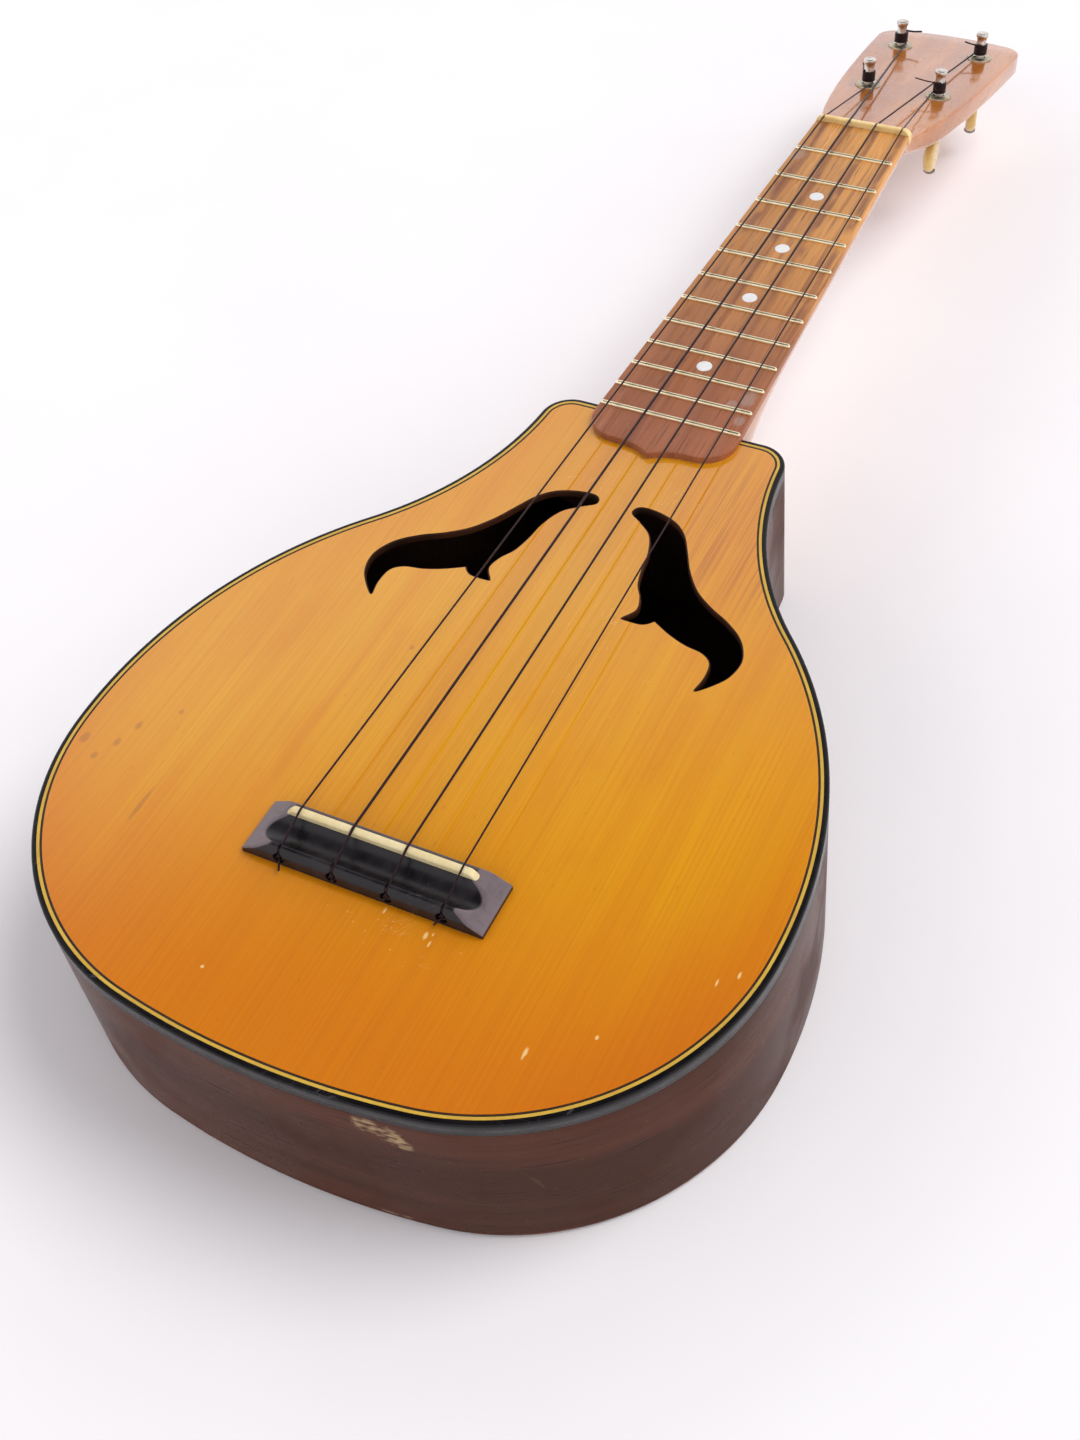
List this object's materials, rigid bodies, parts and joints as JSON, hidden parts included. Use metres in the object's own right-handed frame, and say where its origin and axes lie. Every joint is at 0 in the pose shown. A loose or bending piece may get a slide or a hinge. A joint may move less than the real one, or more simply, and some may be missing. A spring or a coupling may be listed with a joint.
{
  "type": "ukulele",
  "caption": "Small pear-shaped ukulele with a flat amber soundboard, scroll sound holes, fretted neck and tilted head with friction pegs.",
  "frame": {"origin": "on the flat back's outer face, on the middle line, below the saddle end of the scale", "axes": "+Y along the strings towards the head, +Z out of the soundboard, +X towards the treble side"},
  "size_m": [0.199, 0.5168, 0.0623],
  "materials": {
    "spruce_top": "clear amber lacquer, satin",
    "mahogany_body": "glossy lacquer",
    "mahogany_neck": "glossy lacquer",
    "inner_wood": "bare",
    "black_edging": "polished",
    "cream_edging": "polished",
    "dark_edging": "lacquered",
    "rosewood_board": "oiled",
    "dot_white": "polished",
    "fret_metal": "worn",
    "cream_bone": "polished",
    "black_bridge": "satin black",
    "string_dark": "smooth",
    "peg_metal": "worn plating",
    "collar_metal": "worn plating",
    "button_cream": "polished",
    "screw_steel": "tarnished"
  },
  "bodies": {
    "instrument": {"soundboard": "spruce_top", "back": "mahogany_body", "side_bass": "mahogany_body", "side_treble": "mahogany_body", "neck": "mahogany_neck", "neck_block": "inner_wood", "tail_block": "inner_wood", "lining_top_bass": "inner_wood", "lining_top_treble": "inner_wood", "lining_back_bass": "inner_wood", "lining_back_treble": "inner_wood", "top_brace_upper": "inner_wood", "top_brace_lower": "inner_wood", "back_brace_upper": "inner_wood", "back_brace_lower": "inner_wood", "bridge_plate": "inner_wood", "binding": "black_edging", "purfling_cream": "cream_edging", "purfling_dark": "dark_edging", "fretboard": "rosewood_board", "position_dots": "dot_white", "fret_01": "fret_metal", "fret_02": "fret_metal", "fret_03": "fret_metal", "fret_04": "fret_metal", "fret_05": "fret_metal", "fret_06": "fret_metal", "fret_07": "fret_metal", "fret_08": "fret_metal", "fret_09": "fret_metal", "fret_10": "fret_metal", "fret_11": "fret_metal", "fret_12": "fret_metal", "nut": "cream_bone", "saddle": "cream_bone", "bridge": "black_bridge", "string_1": "string_dark", "string_2": "string_dark", "string_3": "string_dark", "string_4": "string_dark", "peg_collars": "collar_metal", "peg_washers": "collar_metal"},
    "peg_1": {"peg_post_1": "peg_metal", "peg_button_1": "button_cream", "peg_screw_1": "screw_steel", "winding_1": "string_dark"},
    "peg_2": {"peg_post_2": "peg_metal", "peg_button_2": "button_cream", "peg_screw_2": "screw_steel", "winding_2": "string_dark"},
    "peg_3": {"peg_post_3": "peg_metal", "peg_button_3": "button_cream", "peg_screw_3": "screw_steel", "winding_3": "string_dark"},
    "peg_4": {"peg_post_4": "peg_metal", "peg_button_4": "button_cream", "peg_screw_4": "screw_steel", "winding_4": "string_dark"}
  },
  "joints": [
    {"name": "peg_1_turn", "type": "hinge", "parent": "instrument", "child": "peg_1", "pos_m": [-0.0138, 0.38651, 0.04588], "axis": [0, 0.1822, 0.9833], "continuous": true},
    {"name": "peg_2_turn", "type": "hinge", "parent": "instrument", "child": "peg_2", "pos_m": [-0.0161, 0.43243, 0.03737], "axis": [0, 0.1822, 0.9833], "continuous": true},
    {"name": "peg_3_turn", "type": "hinge", "parent": "instrument", "child": "peg_3", "pos_m": [0.0161, 0.43243, 0.03737], "axis": [0, 0.1822, 0.9833], "continuous": true},
    {"name": "peg_4_turn", "type": "hinge", "parent": "instrument", "child": "peg_4", "pos_m": [0.0138, 0.38651, 0.04588], "axis": [0, 0.1822, 0.9833], "continuous": true}
  ]
}
